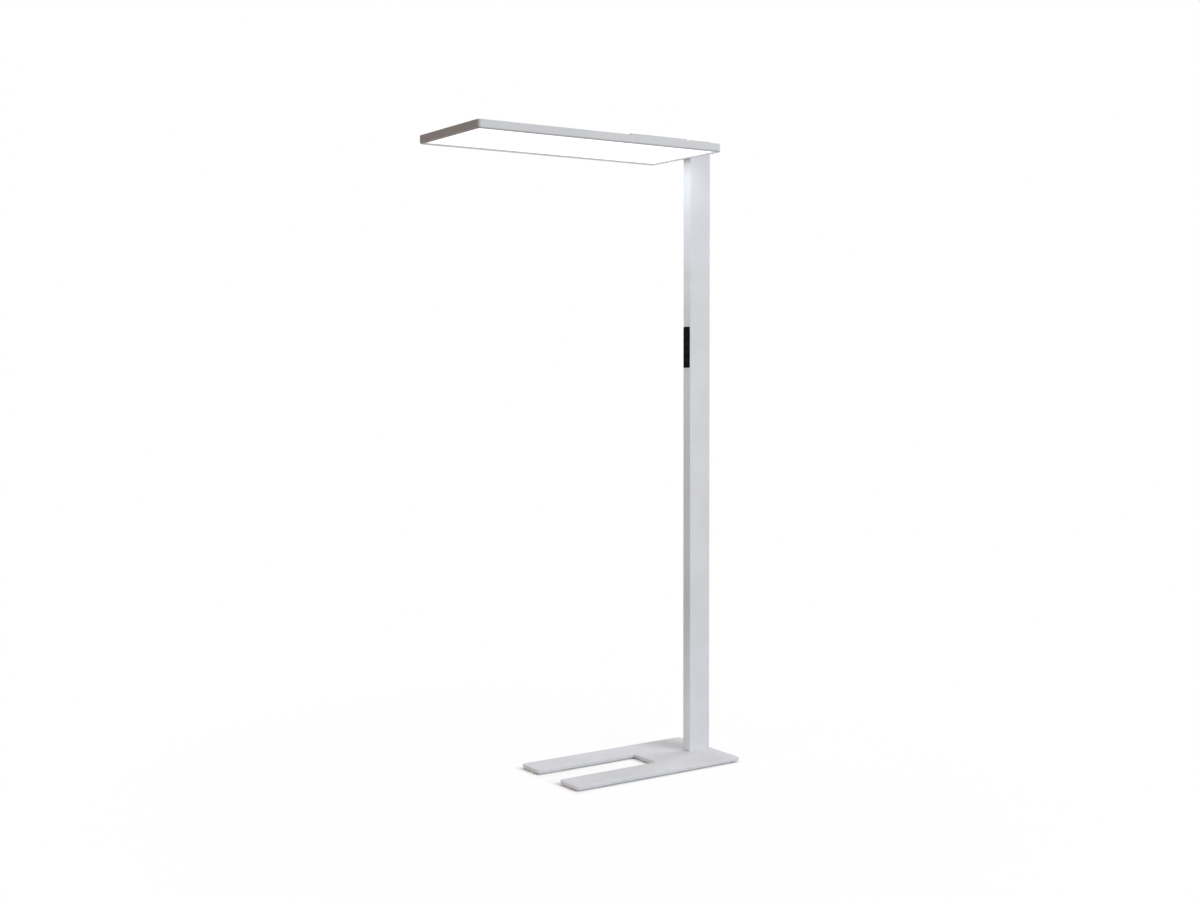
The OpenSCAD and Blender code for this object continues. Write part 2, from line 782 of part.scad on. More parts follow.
module arm_cover() {
    color("gainsboro") difference() {
        translate([0, (arm_y0 + arm_y1) / 2, head_z1])
            bevelled_block(arm_w, arm_l, arm_h, arm_corner_r, 0, arm_bevel);
        translate([-(arm_w / 2 - arm_wall), arm_y0 + arm_wall, head_z1 - 1])
            cube([arm_w - 2 * arm_wall, arm_l - 2 * arm_wall, arm_h - arm_wall + 1]);
        // way in for the tongue and the cables at the rear end
        translate([-(arm_w / 2 - arm_wall), arm_y1 - arm_wall - 1, head_z1 - 1])
            cube([arm_w - 2 * arm_wall, arm_wall + 2, tongue_t + slip + 1]);
        translate([0, arm_y1 - arm_wall - 1, neck_hole_z])
            cable_slot(neck_hole_half, neck_hole_r, arm_wall + 2);
        translate([-neck_hole_half, arm_y1 - arm_wall - 1, head_z1])
            cube([2 * neck_hole_half, arm_wall + 2, neck_hole_rise]);
        at_side_screws() countersunk_hole(m3, arm_wall + 1);
    }
}

module arm_cover_screws() {
    color("dimgray") at_side_screws() countersunk(m3, side_screw_depth - 1);
}

module arm_screws() {
    color("dimgray") at_arm_screws() countersunk(m5, tongue_t + cover_t + spine_t - 1);
}

module led_driver() {
    z = head_z1 + tongue_t;
    color("white") difference() {
        union() {
            translate([0, (driver_y0 + driver_y1) / 2, z])
                bevelled_block(driver_w, driver_l, driver_h, driver_r, 0, driver_bevel);
            translate([0, (driver_y0 + driver_y1) / 2, z])
                rounded_plate(driver_w, driver_l + 2 * ear_l, ear_t, driver_r);
        }
        at_driver_screws() translate([0, 0, -ear_t - 1])
            cylinder(h = ear_t + 2, d = pan_screw[0] + 2 * shank_gap);
    }
}

module driver_screws() {
    color("silver") at_driver_screws() pan_head(pan_screw, ear_t + pan_bite - 0.5);
}

module led_lead() {
    color([0.85, 0.85, 0.85]) {
        translate([0, lead_y + lead_bend, neck_hole_z]) rotate([-90, 0, 0])
            cylinder(h = driver_y0 - lead_y - lead_bend, d = lead_d);
        translate([0, lead_y + lead_bend, neck_hole_z]) rotate([-90, 0, -90])
            cable_bend(lead_d, lead_bend);
        translate([0, lead_y, lead_z]) cylinder(h = neck_hole_z - lead_bend - lead_z, d = lead_d);
        // across the head to both LED strips
        translate([0, lead_y, lead_z]) rotate([0, 90, 0])
            cylinder(h = inside_w - 2 * strip_board_t, d = lead_d, center = true);
    }
}

module lead_grommet() {
    r = lead_hole_r + grommet_flange;
    color([0.1, 0.1, 0.1]) translate([0, lead_y, head_z1]) difference() {
        union() {
            cylinder(h = grommet_flange, r = r);
            translate([0, 0, -cover_t - eps]) cylinder(h = cover_t + 2 * eps, r = lead_hole_r - thread_gap);
            translate([0, 0, -cover_t - grommet_flange]) cylinder(h = grommet_flange, r = r);
        }
        translate([0, 0, -cover_t - grommet_flange - 1])
            cylinder(h = cover_t + 2 * grommet_flange + 2, d = lead_d + 2 * grommet_slip);
    }
}

// ---------- head ----------

module head_frame() {
    color("gainsboro") translate([0, head_yc, head_z0]) difference() {
        bevelled_block(head_w, head_l, head_h, head_corner_r, head_bevel, top_bevel);
        // room for the top cover
        translate([0, 0, head_h - cover_t])
            rounded_plate(inside_w, inside_l, cover_t + 1, inside_r);
        // opening inside the ledge
        translate([0, 0, rim_h])
            rounded_plate(inside_w - 2 * ledge_w, inside_l - 2 * ledge_w, head_h, sheet_r);
        // space between the rim and the ledge
        translate([0, 0, rim_h]) rounded_plate(inside_w, inside_l, ledge_drop(), inside_r);
        // light opening inside the rim
        translate([0, 0, -1])
            rounded_plate(head_w - 2 * rim_w, head_l - 2 * rim_w, rim_h + 2, light_r);
    }
}

module head_cover() {
    color("gainsboro") difference() {
        translate([0, head_yc, cover_z])
            rounded_plate(inside_w - 2 * slip, inside_l - 2 * slip, cover_t, inside_r - slip);
        at_cover_screws() countersunk_hole(cover_screw, cover_t + 1);
        at_arm_screws() cylinder(h = tongue_t + cover_t + 1, d = m5[0] + 2 * shank_gap);
        translate([0, lead_y, cover_z - 1]) cylinder(h = cover_t + 2, r = lead_hole_r);
    }
}

module head_cover_screws() {
    color("silver") at_cover_screws() countersunk(cover_screw, cover_screw_l);
}

// Room that the spine takes, grown by a gap
module spine_block(gap) {
    translate([-spine_w / 2 - gap, spine_y0 - gap, cover_z - spine_t - gap])
        cube([spine_w + 2 * gap, spine_y1 - spine_y0 + 2 * gap, spine_t + 2 * gap]);
}

module head_spine() {
    color("silver") difference() {
        spine_block(0);
        at_arm_screws() cylinder(h = tongue_t + cover_t + spine_t + 1, d = m5[0] + 2 * thread_gap);
    }
}

module head_ribs() {
    w = inside_w - 2 * strip_board_t - 2 * rib_end_gap;
    color("silver") difference() {
        for (i = [0 : rib_count - 1])
            translate([-w / 2, rib_y(i) - rib_w / 2, rib_z]) cube([w, rib_w, cavity_h]);
        spine_block(spine_gap);
        at_cover_screws() cylinder(h = cover_screw_l + 1, d = cover_screw[0] + 2 * thread_gap);
    }
}

module sheet(z, thickness) {
    translate([0, head_yc, z]) rounded_plate(sheet_w, sheet_l, thickness, sheet_r);
}

module reflector_sheet() {
    color("white") sheet(reflector_z, reflector_t);
}

module light_guide() {
    color([0.9, 0.95, 1.0]) sheet(guide_z, guide_t);
}

module diffuser() {
    color("white") sheet(diffuser_z, diffuser_t);
}

module led_strips() {
    strip_l = inside_l - 2 * inside_r;
    led_count = floor((strip_l - led_pitch) / led_pitch);
    face_x = inside_w / 2 - strip_board_t;
    color("white") for (side = [0, 1]) mirror([side, 0, 0]) {
        translate([face_x, head_yc - strip_l / 2, diffuser_z])
            cube([strip_board_t, strip_l, strip_board_h]);
        for (i = [0 : led_count - 1])
            translate([
                face_x - led_size[0],
                head_yc + led_pitch * (i - (led_count - 1) / 2) - led_size[1] / 2,
                guide_z + (guide_t - led_size[2]) / 2
            ]) cube([led_size[0] + strip_board_t / 2, led_size[1], led_size[2]]);
    }
}

base_plate();
base_feet();
base_screws();
column_profile();
column_cap();
mains_inlet();
inlet_blades();
mains_cable();
control_fascia();
control_tray();
control_board();
key_switches();
board_connector();
control_screws();
control_lead();
key(0);  // key_power
key(1);  // key_brighter
key(2);  // key_dimmer
key(3);  // key_mode
plunger(0);  // plunger_power
plunger(1);  // plunger_brighter
plunger(2);  // plunger_dimmer
plunger(3);  // plunger_mode
neck_bracket();
neck_backplate();
neck_screws();
arm_cover();
arm_cover_screws();
arm_screws();
led_driver();
driver_screws();
led_lead();
lead_grommet();
head_frame();
head_cover();
head_cover_screws();
head_spine();
head_ribs();
reflector_sheet();
light_guide();
led_strips();
diffuser();
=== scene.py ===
"""An office floor lamp, lit, on a pale floor: the finishes, the printed keys and the light round the
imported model. Metres; front is -Y, the head's width runs along X, up is +Z."""

import json
import math

import bpy
from mathutils import Matrix, Vector


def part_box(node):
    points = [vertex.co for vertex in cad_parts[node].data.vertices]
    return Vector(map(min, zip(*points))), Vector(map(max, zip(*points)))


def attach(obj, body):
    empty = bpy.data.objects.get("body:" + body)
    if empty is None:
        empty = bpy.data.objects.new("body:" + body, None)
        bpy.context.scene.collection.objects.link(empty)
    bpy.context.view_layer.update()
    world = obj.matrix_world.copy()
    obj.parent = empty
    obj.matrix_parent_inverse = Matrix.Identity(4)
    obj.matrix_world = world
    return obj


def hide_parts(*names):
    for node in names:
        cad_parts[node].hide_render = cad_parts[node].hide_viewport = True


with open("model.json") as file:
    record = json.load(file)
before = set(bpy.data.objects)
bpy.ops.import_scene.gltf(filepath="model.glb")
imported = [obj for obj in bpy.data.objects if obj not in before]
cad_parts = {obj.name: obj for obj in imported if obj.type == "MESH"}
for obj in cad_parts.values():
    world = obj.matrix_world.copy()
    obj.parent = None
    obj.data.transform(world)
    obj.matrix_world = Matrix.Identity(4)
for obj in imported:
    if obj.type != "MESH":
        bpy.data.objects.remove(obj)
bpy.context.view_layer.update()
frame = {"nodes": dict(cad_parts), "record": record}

MM = 0.001
scene = bpy.context.scene


# ---------- modelling helpers ----------

WELD = 0.001 * MM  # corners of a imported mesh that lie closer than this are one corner
SLIVER = 0.002 * MM  # what a bevel leaves narrower than this goes
FLAT_ANGLE = math.radians(0.5)  # faces that meet at less than this are one face
SHARP_ANGLE = math.radians(30)  # edges that turn by more than this are rounded
SMOOTH_ANGLE = math.radians(35)  # edges that turn by less than this are shaded smooth


def activate(piece):
    """Makes piece the only selected object, and the active one."""
    bpy.ops.object.select_all(action="DESELECT")
    piece.select_set(True)
    bpy.context.view_layer.objects.active = piece


def select_faces(piece, wanted):
    """Selects the faces for which wanted(face) is true. Call it in edit mode."""
    bpy.ops.mesh.select_mode(type="FACE")
    bpy.ops.mesh.select_all(action="DESELECT")
    bpy.ops.object.mode_set(mode="OBJECT")
    for face in piece.data.polygons:
        face.select = wanted(face)
    bpy.ops.object.mode_set(mode="EDIT")


def select_edges(piece, wanted):
    """Selects the edges for which wanted(one end, other end) is true. Call it in edit mode."""
    bpy.ops.mesh.select_mode(type="EDGE")
    bpy.ops.mesh.select_all(action="DESELECT")
    bpy.ops.object.mode_set(mode="OBJECT")
    points = piece.data.vertices
    for edge in piece.data.edges:
        edge.select = wanted(points[edge.vertices[0]].co, points[edge.vertices[1]].co)
    bpy.ops.object.mode_set(mode="EDIT")


def apply_modifier(piece, kind, **settings):
    """Adds a modifier with these settings and applies it."""
    activate(piece)
    modifier = piece.modifiers.new(kind.lower(), kind)
    for name, value in settings.items():
        setattr(modifier, name, value)
    bpy.ops.object.modifier_apply(modifier=modifier.name)


def settle(piece):
    """Puts a finished piece's place into its mesh, so that its object sits at the origin."""
    activate(piece)
    bpy.ops.object.transform_apply(location=True, rotation=True, scale=True)


def smooth(piece):
    """Shades piece smooth across its flatter edges."""
    activate(piece)
    bpy.ops.object.shade_smooth_by_angle(angle=SMOOTH_ANGLE)


def drop_slivers(piece):
    """Merges corners that a bevel left on one spot, so that no face has a width of nothing."""
    activate(piece)
    bpy.ops.object.mode_set(mode="EDIT")
    bpy.ops.mesh.select_all(action="SELECT")
    bpy.ops.mesh.remove_doubles(threshold=SLIVER)
    bpy.ops.mesh.dissolve_degenerate(threshold=SLIVER)
    bpy.ops.object.mode_set(mode="OBJECT")


def dress(piece, finish):
    """Gives piece that one finish."""
    piece.data.materials.clear()
    piece.data.materials.append(finish)


def body_of(node):
    """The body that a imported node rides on."""
    bodies = frame["record"]["behaviour"]["bodies"]
    return next(body for body, nodes in bodies.items() if node in nodes)


def stand_for(piece, node, finish):
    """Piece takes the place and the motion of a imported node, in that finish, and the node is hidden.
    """
    dress(piece, finish)
    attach(piece, body_of(node))
    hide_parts(node)


def softened(node, name, finish, width, segments=2, carve=None):
    """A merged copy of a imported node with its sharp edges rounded, which stands for the node.
    carve(piece, node) cuts it first."""
    mesh = frame["nodes"][node].data.copy()
    piece = bpy.data.objects.new(name, mesh)
    scene.collection.objects.link(piece)
    activate(piece)
    bpy.ops.mesh.customdata_custom_splitnormals_clear()
    bpy.ops.object.mode_set(mode="EDIT")
    bpy.ops.mesh.select_all(action="SELECT")
    bpy.ops.mesh.remove_doubles(threshold=WELD)
    bpy.ops.mesh.dissolve_limited(angle_limit=FLAT_ANGLE)
    bpy.ops.object.mode_set(mode="OBJECT")
    if carve:
        carve(piece, node)
    apply_modifier(
        piece, "BEVEL", width=width, segments=segments, limit_method="ANGLE",
        angle_limit=SHARP_ANGLE, miter_outer="MITER_ARC",
    )
    drop_slivers(piece)
    smooth(piece)
    apply_modifier(piece, "WEIGHTED_NORMAL", keep_sharp=True)
    stand_for(piece, node, finish)


# ---------- material helpers ----------


class Number:
    """A number that varies over a surface, with arithmetic that adds Math nodes."""

    def __init__(self, paint, socket):
        self.paint = paint
        self.socket = socket

    def math(self, operation, *others):
        """A Math node's result, from this number and the others."""
        inputs = dict(enumerate((self, *others)))
        made = self.paint.node("ShaderNodeMath", {"operation": operation}, inputs)
        return Number(self.paint, made.outputs[0])

    def __add__(self, other):
        return self.math("ADD", other)

    def __mul__(self, other):
        return self.math("MULTIPLY", other)

    def __sub__(self, other):
        return self.math("SUBTRACT", other)

    def __rsub__(self, other):
        return self * -1 + other

    def __truediv__(self, other):
        return self.math("DIVIDE", other)

    def __abs__(self):
        return self.math("ABSOLUTE")

    __radd__ = __add__
    __rmul__ = __mul__

    def step(self, low, high):
        """0 below low and 1 above high, smooth between them; low above high turns it round."""
        made = self.paint.node(
            "ShaderNodeMapRange",
            {"interpolation_type": "SMOOTHSTEP"},
            {"Value": self, "From Min": low, "From Max": high},
        )
        return Number(self.paint, made.outputs["Result"])


class Paint:
    """A material and its nodes."""

    def __init__(self, name):
        self.material = bpy.data.materials.new(name)
        self.material.use_nodes = True
        self.tree = self.material.node_tree
        self.tree.nodes.clear()
        self.out = self.node("ShaderNodeOutputMaterial")
        self.place = self.node("ShaderNodeTexCoord").outputs["Object"]

    def node(self, kind, settings=None, inputs=None):
        """Adds a node: settings come first, then the values or links of its sockets."""
        made = self.tree.nodes.new(kind)
        for name, value in (settings or {}).items():
            setattr(made, name, value)
        for name, value in (inputs or {}).items():
            self.feed(made.inputs[name], value)
        return made

    def feed(self, socket, value):
        """Links a socket to a node's output, or sets it to a constant."""
        if isinstance(value, Number):
            value = value.socket
        if isinstance(value, bpy.types.NodeSocket):
            self.tree.links.new(value, socket)
        elif isinstance(value, tuple) and len(value) == 3 and socket.type == "RGBA":
            socket.default_value = (*value, 1)
        else:
            socket.default_value = value

    def axis(self, name):
        """X, Y or Z of the place on the object, in metres."""
        made = self.node("ShaderNodeSeparateXYZ", inputs={0: self.place})
        return Number(self, made.outputs[name])

    def stretched(self, scale, turn=(0, 0, 0)):
        """The place with each axis scaled: a pattern runs long in an axis with a small scale. The
        turn after that only picks another part of the pattern."""
        return self.node(
            "ShaderNodeMapping", inputs={"Vector": self.place, "Scale": scale, "Rotation": turn}
        ).outputs[0]

    def noise(self, scale, detail=2, roughness=0.5, place=None):
        """Cloudy noise, about 0.5 on average."""
        made = self.node(
            "ShaderNodeTexNoise",
            inputs={
                "Vector": place or self.place, "Scale": scale,
                "Detail": detail, "Roughness": roughness,
            },
        )
        return Number(self, made.outputs[0])

    def cells(self, scale):
        """Distance to the nearest of scattered points."""
        made = self.node("ShaderNodeTexVoronoi", inputs={"Vector": self.place, "Scale": scale})
        return Number(self, made.outputs["Distance"])

    def blend(self, amount, first, second):
        """The first colour where amount is 0, the second where it is 1."""
        made = self.node("ShaderNodeMix", {"data_type": "RGBA"}, {0: amount, 6: first, 7: second})
        return made.outputs[2]

    def mix(self, amount, first, second):
        """A node that gives the first node's shader where amount is 0, the second's where it is 1."""
        return self.node(
            "ShaderNodeMixShader", inputs={0: amount, 1: first.outputs[0], 2: second.outputs[0]}
        )

    def bump(self, height, distance, strength):
        """A normal that follows height, which is distance deep in metres."""
        inputs = {"Height": height, "Distance": distance, "Strength": strength}
        return self.node("ShaderNodeBump", inputs=inputs).outputs[0]

    def sees_background(self):
        """1 for rays that meet the plain white background: the camera's, and those that come off
        gloss or through glass."""
        rays = self.node("ShaderNodeLightPath").outputs
        direct = Number(self, rays["Is Camera Ray"])
        direct_or_glossy = direct.math("MAXIMUM", rays["Is Glossy Ray"])
        return direct_or_glossy.math("MAXIMUM", rays["Is Transmission Ray"])

    def surface(self, **inputs):
        """Ends the material in one Principled surface and returns it."""
        names = {name.replace("_", " "): value for name, value in inputs.items()}
        made = self.node("ShaderNodeBsdfPrincipled", inputs=names)
        self.feed(self.out.inputs["Surface"], made.outputs[0])
        return self.material


class Sky(Paint):
    """The world and its nodes."""

    def __init__(self, name):
        self.world = bpy.data.worlds.new(name)
        self.world.use_nodes = True
        self.tree = self.world.node_tree
        self.tree.nodes.clear()
        self.out = self.node("ShaderNodeOutputWorld")


def grey(level, tint=(1, 1, 1)):
    """A linear colour from an sRGB level out of 255, with a slight tint."""
    value = level / 255
    linear = value / 12.92 if value <= 0.04045 else ((value + 0.055) / 1.055) ** 2.4
    return tuple(linear * part for part in tint)


# ---------- finishes ----------

COAT = grey(208, (0.985, 1.0, 1.035))
COAT_GLOSS = 0.3


def powder_coat(name, colour=COAT, scuffs=0.0, dust=0.0):
    """Light powder coat: a fine orange peel, faint clouds, and scuffs and floor dust where asked."""
    paint = Paint(name)
    peel = paint.noise(1400, detail=3, roughness=0.6)
    grain = paint.noise(5200, detail=1)
    clouds = paint.noise(4.5, detail=4, roughness=0.55)
    darker = tuple(part * 0.955 for part in colour)
    lighter = tuple(min(part * 1.02, 1) for part in colour)
    body = paint.blend(clouds.step(0.35, 0.65), darker, lighter)
    specks = paint.cells(900).step(0.12, 0.02) * paint.noise(60, detail=1).step(0.5, 0.7)
    body = paint.blend(specks * 0.25, body, tuple(part * 0.8 for part in colour))
    rough = 0.46 + grain * 0.08 + clouds * 0.04
    height = peel * 0.75 + grain * 0.25
    if scuffs:
        long_in_x = paint.stretched((1.0, 16.0, 8.0), (0, 0, 0.35))
        long_in_y = paint.stretched((20.0, 1.4, 8.0), (0, 0, 0.5))
        across = paint.noise(14, detail=5, roughness=0.7, place=long_in_x)
        along = paint.noise(11, detail=5, roughness=0.7, place=long_in_y)
        patches = paint.noise(7, detail=2).step(0.45, 0.6)
        marks = (across.step(0.66, 0.72) + along.step(0.67, 0.72)) * patches * scuffs
        body = paint.blend(marks, body, tuple(part * 0.72 for part in colour))
        rough = rough + marks * 0.15
    if dust:
        low = paint.axis("Z").step(0.14, 0.0)
        film = low * paint.noise(18, detail=5, roughness=0.65).step(0.35, 0.75) * dust
        body = paint.blend(film, body, grey(176, (1.03, 1.0, 0.95)))
        rough = rough + film * 0.2
    return paint.surface(
        Base_Color=body, Roughness=rough, Specular_IOR_Level=COAT_GLOSS,
        Normal=paint.bump(height, 0.03 * MM, 0.6),
    )


def bare_aluminium(name):
    """Mill-finished aluminium, with drawing lines along Y."""
    paint = Paint(name)
    drawn_along_y = paint.stretched((1.0, 0.02, 1.0))
    lines = paint.noise(420, detail=4, roughness=0.6, place=drawn_along_y)
    stain = paint.noise(9, detail=4)
    body = paint.blend(stain.step(0.3, 0.7), grey(190), grey(205, (1.0, 1.0, 1.01)))
    return paint.surface(
        Base_Color=body, Metallic=1.0, Roughness=0.28 + lines * 0.16,
        Normal=paint.bump(lines, 0.02 * MM, 0.5),
    )


def screw_steel(name, level):
    """Plated or blackened screw steel, uneven with small knocks."""
    paint = Paint(name)
    knocks = paint.noise(700, detail=4, roughness=0.65)
    body = paint.blend(knocks.step(0.3, 0.75), grey(level), grey(level * 1.12))
    return paint.surface(
        Base_Color=body, Metallic=1.0, Roughness=0.3 + knocks * 0.2,
        Normal=paint.bump(knocks, 0.02 * MM, 0.6),
    )


def moulding(name, colour, rough=0.5, gloss=0.5, grain_scale=2600, grain=0.02):
    """Moulded plastic with a spark-eroded grain and faint handling marks."""
    paint = Paint(name)
    pits = paint.noise(grain_scale, detail=2, roughness=0.6)
    handling = paint.noise(24, detail=4, roughness=0.6)
    worn = tuple(min(part * 1.25 + 0.002, 1) for part in colour)
    body = paint.blend(handling.step(0.45, 0.8) * 0.5, colour, worn)
    return paint.surface(
        Base_Color=body, Roughness=rough + pits * 0.08 + handling * 0.06, Specular_IOR_Level=gloss,
        Normal=paint.bump(pits, grain * MM, 0.6),
    )


def rubber(name):
    """Black rubber, chalky where dust has stuck to it."""
    paint = Paint(name)
    pores = paint.noise(1800, detail=3, roughness=0.65)
    chalk = paint.noise(120, detail=5, roughness=0.7).step(0.5, 0.8)
    body = paint.blend(chalk * 0.35, grey(38), grey(92, (1.02, 1.0, 0.97)))
    return paint.surface(
        Base_Color=body, Roughness=0.72 + pores * 0.15, Specular_IOR_Level=0.25,
        Normal=paint.bump(pores, 0.04 * MM, 0.7),
    )


def circuit_board(name):
    """Green solder resist over copper tracks, with small pads."""
    paint = Paint(name)
    weave = paint.noise(1600, detail=2)
    tracks = paint.cells(210).step(0.16, 0.12)
    body = paint.blend(tracks, grey(70, (0.35, 1.0, 0.5)), grey(120, (0.45, 1.0, 0.55)))
    pads = paint.cells(330).step(0.1, 0.07)
    body = paint.blend(pads, body, grey(205, (1.0, 0.98, 0.9)))
    return paint.surface(
        Base_Color=body, Roughness=0.32 + weave * 0.1, Coat_Weight=0.2,
        Normal=paint.bump(tracks * 0.7 + weave * 0.3, 0.03 * MM, 0.6),
    )


def sheath(name):
    """A light grey cable sheath with the faint lay of its cores showing through, long in Z."""
    paint = Paint(name)
    lay = paint.noise(260, detail=3, place=paint.stretched((1.0, 1.0, 0.12)))
    body = paint.blend(lay.step(0.3, 0.7), grey(206), grey(224))
    return paint.surface(
        Base_Color=body, Roughness=0.48 + lay * 0.1, Normal=paint.bump(lay, 0.05 * MM, 0.5)
    )


def reflector_film(name):
    """White reflector film with a fine paper-like tooth."""
    paint = Paint(name)
    tooth = paint.noise(2200, detail=3)
    body = paint.blend(tooth.step(0.3, 0.7), grey(240), grey(250))
    return paint.surface(
        Base_Color=body, Roughness=0.75 + tooth * 0.15, Normal=paint.bump(tooth, 0.01 * MM, 0.5)
    )


def clear_guide(name):
    """Clear acrylic with the fine printed dots that let the light out."""
    paint = Paint(name)
    dots = paint.cells(420).step(0.3, 0.26)
    body = paint.blend(dots, grey(242, (0.97, 1.0, 1.0)), grey(252))
    return paint.surface(
        Base_Color=body, Roughness=0.08 + dots * 0.3, Transmission_Weight=0.6, IOR=1.49,
        Normal=paint.bump(dots, 0.01 * MM, 0.5),
    )


LIGHT_STRENGTH = 1.0
LIGHT_COLOUR = (0.965, 0.99, 1.0)


def lit_diffuser(name):
    """The lit opal sheet: even light that falls off slightly at the long edges, over a satin grain."""
    paint = Paint(name)
    grain = paint.noise(1500, detail=2)
    head_low, head_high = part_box("head_frame")
    half_width = (head_high.x - head_low.x) / 2
    edge = (abs(paint.axis("X")) / half_width).step(0.86, 0.97)
    dimmer = tuple(part * 0.88 for part in LIGHT_COLOUR)
    light = paint.blend(edge * 0.5 + grain * 0.04, LIGHT_COLOUR, dimmer)
    return paint.surface(
        Base_Color=paint.blend(grain, grey(235), grey(246)), Roughness=0.35 + grain * 0.15,
        Emission_Color=light, Emission_Strength=LIGHT_STRENGTH,
        Normal=paint.bump(grain, 0.01 * MM, 0.4),
    )


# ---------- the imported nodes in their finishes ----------

STRIP_BLACK = (1.0, 0.96, 1.3)  # the tint of the control strip's and the keys' black

coat_head = powder_coat("head_powder_coat")
coat_column = powder_coat("column_powder_coat", dust=0.25)
coat_base = powder_coat("base_powder_coat", scuffs=0.3, dust=0.18)
coat_neck = powder_coat("neck_powder_coat", grey(200, (0.985, 1.0, 1.03)))
screw_black = screw_steel("blackened_steel", 52)
screw_zinc = screw_steel("zinc_plated_steel", 178)
blade_nickel = screw_steel("nickel_plated_brass", 196)
aluminium = bare_aluminium("mill_aluminium")
black_rubber = rubber("black_rubber")
cap_moulding = moulding("cap_moulding", COAT, rough=0.5, gloss=0.3)
inlet_moulding = moulding("inlet_moulding", grey(34), rough=0.45)
strip_moulding = moulding(
    "strip_moulding", grey(13, STRIP_BLACK), rough=0.42, gloss=0.018, grain_scale=3200, grain=0.008
)
key_moulding = moulding(
    "key_moulding", grey(15, STRIP_BLACK), rough=0.42, gloss=0.02, grain_scale=2400, grain=0.015
)
key_print = moulding(
    "key_print", grey(96, (1.0, 1.0, 1.04)), rough=0.5, gloss=0.1, grain_scale=3000, grain=0.004
)
plunger_moulding = moulding("plunger_moulding", grey(232), rough=0.4)

softened("head_frame", "head_frame_coated", coat_head, 0.4 * MM)
softened("head_cover", "head_cover_coated", coat_head, 0.2 * MM)
softened("arm_cover", "arm_cover_coated", coat_head, 0.4 * MM)
softened("neck_bracket", "neck_coated", coat_neck, 0.3 * MM)
softened("column_profile", "column_coated", coat_column, 0.15 * MM)
softened("column_cap", "column_cap_moulded", cap_moulding, 0.3 * MM)
softened("base_plate", "base_plate_coated", coat_base, 0.3 * MM)
softened("mains_inlet", "mains_inlet_moulded", inlet_moulding, 0.2 * MM)
softened("control_fascia", "control_strip_moulded", strip_moulding, 0.12 * MM)

softened("base_feet", "base_feet_rubber", black_rubber, 0.7 * MM, 3)
softened("base_screws", "base_screws_plated", screw_zinc, 0.15 * MM)
softened("head_cover_screws", "head_cover_screws_plated", screw_zinc, 0.08 * MM)
softened("neck_screws", "neck_screws_black", screw_black, 0.15 * MM)
softened("arm_cover_screws", "arm_cover_screws_black", screw_black, 0.08 * MM)
softened("inlet_blades", "inlet_blades_plated", blade_nickel, 0.15 * MM)

for node, finish in {
    "lead_grommet": black_rubber,
    "control_screws": screw_zinc,
    "driver_screws": screw_zinc,
    "arm_screws": screw_black,
    "neck_backplate": aluminium,
    "head_spine": aluminium,
    "head_ribs": aluminium,
    "mains_cable": sheath("mains_sheath"),
    "control_lead": sheath("control_sheath"),
    "led_lead": sheath("led_sheath"),
    "control_tray": moulding("tray_moulding", grey(58), rough=0.55),
    "control_board": circuit_board("green_board"),
    "key_switches": moulding("switch_moulding", grey(66), rough=0.5),
    "board_connector": moulding("connector_moulding", grey(222, (1.0, 0.96, 0.84)), rough=0.45),
    "led_driver": moulding("driver_moulding", grey(236), rough=0.5),
    "reflector_sheet": reflector_film("reflector_film"),
    "light_guide": clear_guide("clear_guide"),
    "led_strips": moulding("led_board_resist", grey(238, (1.0, 1.0, 0.97)), rough=0.35),
    "diffuser": lit_diffuser("lit_opal"),
}.items():
    dress(frame["nodes"][node], finish)


# ---------- the four keys ----------

DISH_RADIUS = 8.2 * MM
DISH_DEPTH = 0.25 * MM
BALL_OUT = 0.1 * MM  # the ball that cuts a dish has its middle this far in front of the key's face
STROKE = 0.36 * MM  # width of a printed line
STROKE_ROUNDING = 0.45 * STROKE
INK = 0.1 * MM  # thickness of the print, part of it sunk in the key
PRINT_OUT = 0.01 * MM  # the middle of that thickness lies this far out from the dish's bottom


def face_middle(key_node):
    """The middle of a key's face."""
    low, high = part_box(key_node)
    return Vector(((low.x + high.x) / 2, low.y, (low.z + high.z) / 2))


def hollow_dish(piece, key_node):
    """Cuts a shallow round dish for the fingertip into a key's face."""
    bpy.ops.object.select_all(action="DESELECT")
    bpy.ops.mesh.primitive_uv_sphere_add(
        segments=64, ring_count=32, radius=1, rotation=(math.pi / 2, 0, 0)
    )
    ball = bpy.context.object
    ball.scale = (DISH_RADIUS, DISH_RADIUS, DISH_DEPTH + BALL_OUT)
    ball.location = face_middle(key_node) - Vector((0, BALL_OUT, 0))
    settle(ball)
    apply_modifier(piece, "BOOLEAN", operation="DIFFERENCE", solver="EXACT", object=ball)
    bpy.data.objects.remove(ball)


def bar(x0, z0, x1, z1):
    """A printed stroke between two points in mm, round at its ends, on the plane Y = 0."""
    start, end = Vector((x0, 0, z0)) * MM, Vector((x1, 0, z1)) * MM
    bpy.ops.object.select_all(action="DESELECT")
    bpy.ops.mesh.primitive_cube_add(size=1)
    stroke = bpy.context.object
    stroke.scale = (STROKE, INK, (end - start).length + STROKE)
    stroke.location = (start + end) / 2
    stroke.rotation_euler = (0, math.atan2(x1 - x0, z1 - z0), 0)
    settle(stroke)
    bpy.ops.object.mode_set(mode="EDIT")
    select_edges(stroke, lambda one, other: abs(one.y - other.y) > INK / 2)
    bpy.ops.mesh.bevel(offset=STROKE_ROUNDING, segments=3)
    bpy.ops.object.mode_set(mode="OBJECT")
    return stroke


